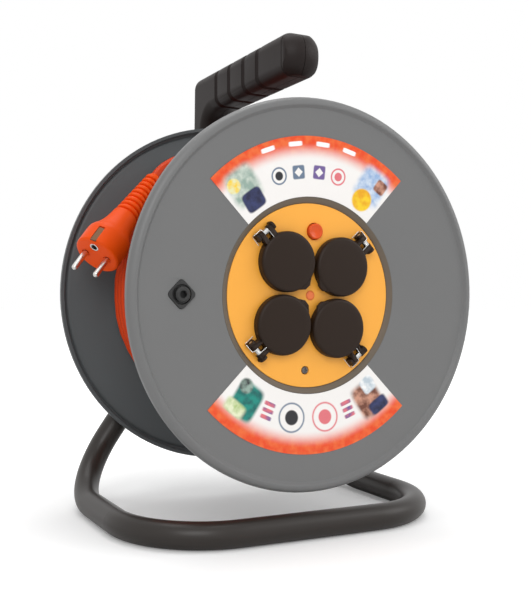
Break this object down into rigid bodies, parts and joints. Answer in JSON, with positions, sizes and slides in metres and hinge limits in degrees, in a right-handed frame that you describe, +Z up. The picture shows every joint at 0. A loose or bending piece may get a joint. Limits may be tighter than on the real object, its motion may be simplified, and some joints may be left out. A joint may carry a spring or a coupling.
{
  "type": "extension cord reel",
  "caption": "Portable extension cord reel: a dished plastic drum wound with cable turns on a bent tube stand with a carrying grip, and has lidded sockets in its face.",
  "frame": {"origin": "centre of the footprint on the floor, without the cable and its plug", "axes": "+Z up; the socket side faces -Y; the drum turns about an axis along +Y; +X to the right seen from the socket side"},
  "size_m": [0.2936, 0.2084, 0.378],
  "materials": {
    "tube_paint": "satin powder coat",
    "steel": "zinc plated",
    "nylon": "plain",
    "drum_grey": "fine satin",
    "grip_black": "fine satin",
    "black_plastic": "satin",
    "black_rubber": "matt",
    "panel_amber": "satin",
    "button_red": "gloss",
    "contact_steel": "nickel plated",
    "brass": "plain",
    "breaker_grey": "plain",
    "label_print": "printed film",
    "cable_orange": "satin",
    "plug_orange": "satin",
    "wire_brown": "plain",
    "wire_blue": "plain",
    "wire_green": "green with a yellow stripe"
  },
  "bodies": {
    "stand": {"stand_tube": "tube_paint", "hub_plate": "tube_paint", "axle": "steel", "axle_washer": "steel", "axle_screw": "steel", "thrust_washer": "nylon", "grip_left": "grip_black", "grip_right": "grip_black", "grip_screws": "steel"},
    "drum": {"front_flange": "drum_grey", "front_core": "drum_grey", "rear_core": "drum_grey", "rear_flange": "drum_grey", "drum_screws": "steel", "axle_bush_front": "nylon", "axle_bush_rear": "nylon", "panel_gasket": "black_rubber", "socket_panel": "panel_amber", "lid_pins": "steel", "lid_springs": "steel", "panel_screws": "steel", "socket_well_1": "black_plastic", "socket_well_2": "black_plastic", "socket_well_3": "black_plastic", "socket_well_4": "black_plastic", "earth_contact_1": "contact_steel", "earth_contact_2": "contact_steel", "earth_contact_3": "contact_steel", "earth_contact_4": "contact_steel", "earth_ring": "contact_steel", "live_strip": "brass", "neutral_strip": "brass", "cutout_body": "breaker_grey", "knob_socket": "black_plastic", "label_top": "label_print", "label_bottom": "label_print", "cord_gland": "black_rubber", "cable_inner": "cable_orange", "cord_clamp": "nylon", "clamp_screws": "steel", "wire_live": "wire_brown", "wire_neutral": "wire_blue", "wire_earth": "wire_green", "wire_link": "wire_brown", "cable_coil": "cable_orange", "cable_tail": "cable_orange", "plug_body": "plug_orange", "plug_relief": "plug_orange", "plug_pins": "contact_steel", "plug_earth_strips": "contact_steel"},
    "lid_1": {"lid_1": "black_plastic", "lid_seal_1": "black_rubber"},
    "lid_2": {"lid_2": "black_plastic", "lid_seal_2": "black_rubber"},
    "lid_3": {"lid_3": "black_plastic", "lid_seal_3": "black_rubber"},
    "lid_4": {"lid_4": "black_plastic", "lid_seal_4": "black_rubber"},
    "reset_button": {"reset_button": "button_red"}
  },
  "joints": [
    {"name": "drum_spin", "type": "hinge", "parent": "stand", "child": "drum", "pos_m": [0, -0.09825, 0.1793], "axis": [0, 1, 0], "continuous": true},
    {"name": "lid_1_hinge", "type": "hinge", "parent": "drum", "child": "lid_1", "pos_m": [0.04539, -0.09185, 0.21946], "axis": [-0.6626, 0, 0.749], "range_deg": [0, 115], "stiffness_Nm_per_rad": 0.012, "springref_deg": -45.84},
    {"name": "lid_2_hinge", "type": "hinge", "parent": "drum", "child": "lid_2", "pos_m": [-0.04016, -0.09185, 0.22469], "axis": [-0.749, 0, -0.6626], "range_deg": [0, 115], "stiffness_Nm_per_rad": 0.012, "springref_deg": -45.84},
    {"name": "lid_3_hinge", "type": "hinge", "parent": "drum", "child": "lid_3", "pos_m": [-0.04539, -0.09185, 0.13914], "axis": [0.6626, 0, -0.749], "range_deg": [0, 115], "stiffness_Nm_per_rad": 0.012, "springref_deg": -45.84},
    {"name": "lid_4_hinge", "type": "hinge", "parent": "drum", "child": "lid_4", "pos_m": [0.04016, -0.09185, 0.13391], "axis": [0.749, 0, 0.6626], "range_deg": [0, 115], "stiffness_Nm_per_rad": 0.012, "springref_deg": -45.84},
    {"name": "reset_press", "type": "slide", "parent": "drum", "child": "reset_button", "axis": [0, 1, 0], "range_m": [0, 0.003], "stiffness_N_per_m": 300, "springref_m": -0.004}
  ]
}
